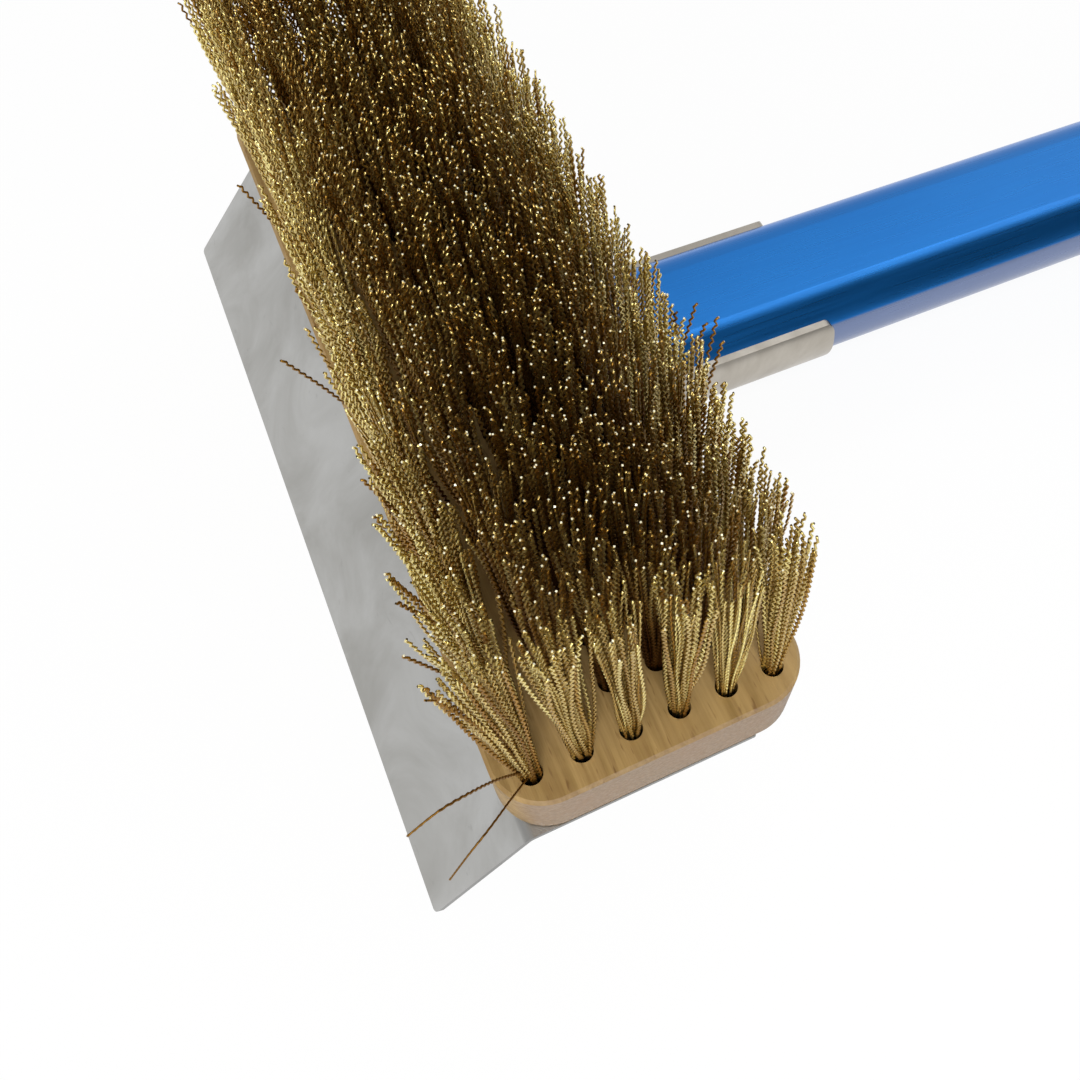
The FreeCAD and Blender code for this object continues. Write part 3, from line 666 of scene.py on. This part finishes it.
def add_camera():
    data = bpy.data.cameras.new("camera")
    data.lens = CAMERA_LENS
    data.sensor_width = 36
    data.shift_x, data.shift_y = CAMERA_SHIFT
    data.clip_start = 0.01
    data.clip_end = 20
    camera = bpy.data.objects.new("camera", data)
    camera.location = CAMERA_PLACE
    camera.rotation_euler = Euler([math.radians(a) for a in CAMERA_TURN], "XYZ")
    bpy.context.scene.collection.objects.link(camera)
    bpy.context.scene.camera = camera


def add_light(name, place, aim, size, power):
    """A soft box: size is its length across the picture and its depth."""
    data = bpy.data.lights.new(name, "AREA")
    data.shape = "RECTANGLE"
    data.size, data.size_y = size
    data.energy = power
    lamp = bpy.data.objects.new(name, data)
    lamp.location = place
    lamp.rotation_euler = (Vector(aim) - Vector(place)).to_track_quat("-Z", "Y").to_euler()
    bpy.context.scene.collection.objects.link(lamp)


def shown_rays(s):
    """1 for what the camera sees, directly, in a reflection or through glass."""
    rays = s.node("ShaderNodeLightPath")
    first = s.node("ShaderNodeMath", operation="MAXIMUM")
    s.link(rays.outputs["Is Camera Ray"], first.inputs[0])
    s.link(rays.outputs["Is Glossy Ray"], first.inputs[1])
    both = s.node("ShaderNodeMath", operation="MAXIMUM")
    s.link(first.outputs[0], both.inputs[0])
    s.link(rays.outputs["Is Transmission Ray"], both.inputs[1])
    return both.outputs[0]


def add_world():
    """A room lit softly: brightest low down and over towards the handle."""
    world = bpy.data.worlds.new("studio")
    world.use_nodes = True
    world.node_tree.nodes.clear()
    s = Shader(world.node_tree)
    where = s.node("ShaderNodeTexCoord")
    parts = s.node("ShaderNodeSeparateXYZ")
    s.link(where.outputs["Generated"], parts.inputs["Vector"])
    handle_side = s.node("ShaderNodeVectorMath", operation="DOT_PRODUCT")
    s.link(where.outputs["Generated"], handle_side.inputs[0])
    handle_side.inputs[1].default_value = HANDLE_WAY
    height = s.ramp(parts.outputs["Z"], WORLD_LOW, WORLD_HIGH)
    near, full = HANDLE_EDGE
    share = s.ramp(handle_side.outputs["Value"], (near, 0.0), (full, 1.0))
    light = s.node("ShaderNodeBackground")
    s.link(s.mix(share, height, (WORLD_HANDLE,) * 3), light.inputs["Color"])
    out = s.node("ShaderNodeOutputWorld")
    s.link(light.outputs[0], out.inputs["Surface"])
    bpy.context.scene.world = world


def add_floor(height):
    """A pale floor that is white to the eye and keeps the object's shadow."""
    made, s = material("floor")
    paint = s.node("ShaderNodeBsdfDiffuse")
    paint.inputs["Color"].default_value = (FLOOR_GREY, FLOOR_GREY, FLOOR_GREY, 1)
    white = s.node("ShaderNodeEmission")
    white.inputs["Color"].default_value = (1, 1, 1, 1)
    white.inputs["Strength"].default_value = 1.0
    keep = s.node("ShaderNodeMath", operation="MULTIPLY")
    s.link(shown_rays(s), keep.inputs[0])
    keep.inputs[1].default_value = FLOOR_GLOW
    both = s.node("ShaderNodeMixShader")
    s.link(keep.outputs[0], both.inputs[0])
    s.link(paint.outputs[0], both.inputs[1])
    s.link(white.outputs[0], both.inputs[2])
    out = s.node("ShaderNodeOutputMaterial")
    s.link(both.outputs[0], out.inputs["Surface"])
    mesh = bpy.data.meshes.new("floor")
    square = ((-1, -1), (1, -1), (1, 1), (-1, 1))
    corners = [(FLOOR_REACH * x, FLOOR_REACH * y, height) for x, y in square]
    mesh.from_pydata(corners, [], [(0, 1, 2, 3)])
    mesh.materials.append(made)
    floor = bpy.data.objects.new("floor", mesh)
    bpy.context.scene.collection.objects.link(floor)


def add_flag(name, grey, start, end, low_edge, high_edge):
    """A dark studio flag, out of the picture, that the tube's rounded edge reflects. It runs along
    the tube from x = start to end, between two edges given as (y, z)."""
    made, s = material(name)
    cloth = s.node("ShaderNodeBsdfDiffuse")
    cloth.inputs["Color"].default_value = (grey, grey, grey, 1)
    out = s.node("ShaderNodeOutputMaterial")
    s.link(cloth.outputs[0], out.inputs["Surface"])
    corners = [(start, *low_edge), (end, *low_edge), (end, *high_edge), (start, *high_edge)]
    mesh = bpy.data.meshes.new(name)
    mesh.from_pydata(corners, [], [(0, 1, 2, 3)])
    mesh.materials.append(made)
    flag = bpy.data.objects.new(name, mesh)
    flag.visible_camera = False
    flag.visible_diffuse = False
    flag.visible_shadow = False
    bpy.context.scene.collection.objects.link(flag)


# ---------------------------------------------------------------- assembly


def dress(node, finish):
    """Gives a CAD node its material."""
    piece = nodes[node]
    piece.data.materials.clear()
    piece.data.materials.append(finish)


def soften(node, degrees):
    """Smooth shading over the rounded faces of a CAD node, with its real edges kept crisp."""
    mesh = nodes[node].data
    mesh.polygons.foreach_set("use_smooth", np.ones(len(mesh.polygons), bool))
    mesh.set_sharp_from_angle(angle=math.radians(degrees))


def build():
    wood = beech_wood()
    # The third colour is painted shade at the roots of the inner wires.
    brass = brass_wire(
        "brass_wire", srgb(255, 238, 160), srgb(174, 131, 56), srgb(88, 51, 14), 0.2
    )
    ends = brass_cut_end()
    scraper = satin_steel(
        "satin_stainless",
        srgb(190, 190, 188),
        srgb(173, 172, 168),
        0.34,
        across=(1, 0.03, 1),
        edge=0.75,
    )
    zinc = satin_steel("zinc_steel", srgb(186, 180, 170), srgb(160, 153, 142), 0.3)
    plain = satin_steel("plain_aluminium", srgb(205, 205, 205), srgb(180, 180, 180), 0.32)
    blue = blue_anodised(*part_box("handle_tube"))
    plastic = moulded_plastic()
    bodies = {
        "head_block": wood,
        "scraper_plate": scraper,
        "handle_bracket": zinc,
        "handle_tube": blue,
        "end_cap": plastic,
    }
    fasteners = {
        "plate_screws": zinc,
        "bracket_screws": zinc,
        "tube_rivets": plain,
        "rivet_mandrels": zinc,
    }
    dress("tuft_anchors", zinc)
    for node, finish in bodies.items():
        dress(node, finish)
        soften(node, BODY_EDGE)
    for node, finish in fasteners.items():
        dress(node, finish)
        soften(node, FASTENER_EDGE)
    for number in range(1, ROWS + 1):
        bristle_row(number, brass, ends)
    add_floor(cad_low.z)
    add_world()
    for soft_box in SOFT_BOXES:
        add_light(*soft_box)
    for flag in FLAGS:
        add_flag(*flag)
    add_camera()
    bpy.context.scene.view_settings.view_transform = "Standard"


build()
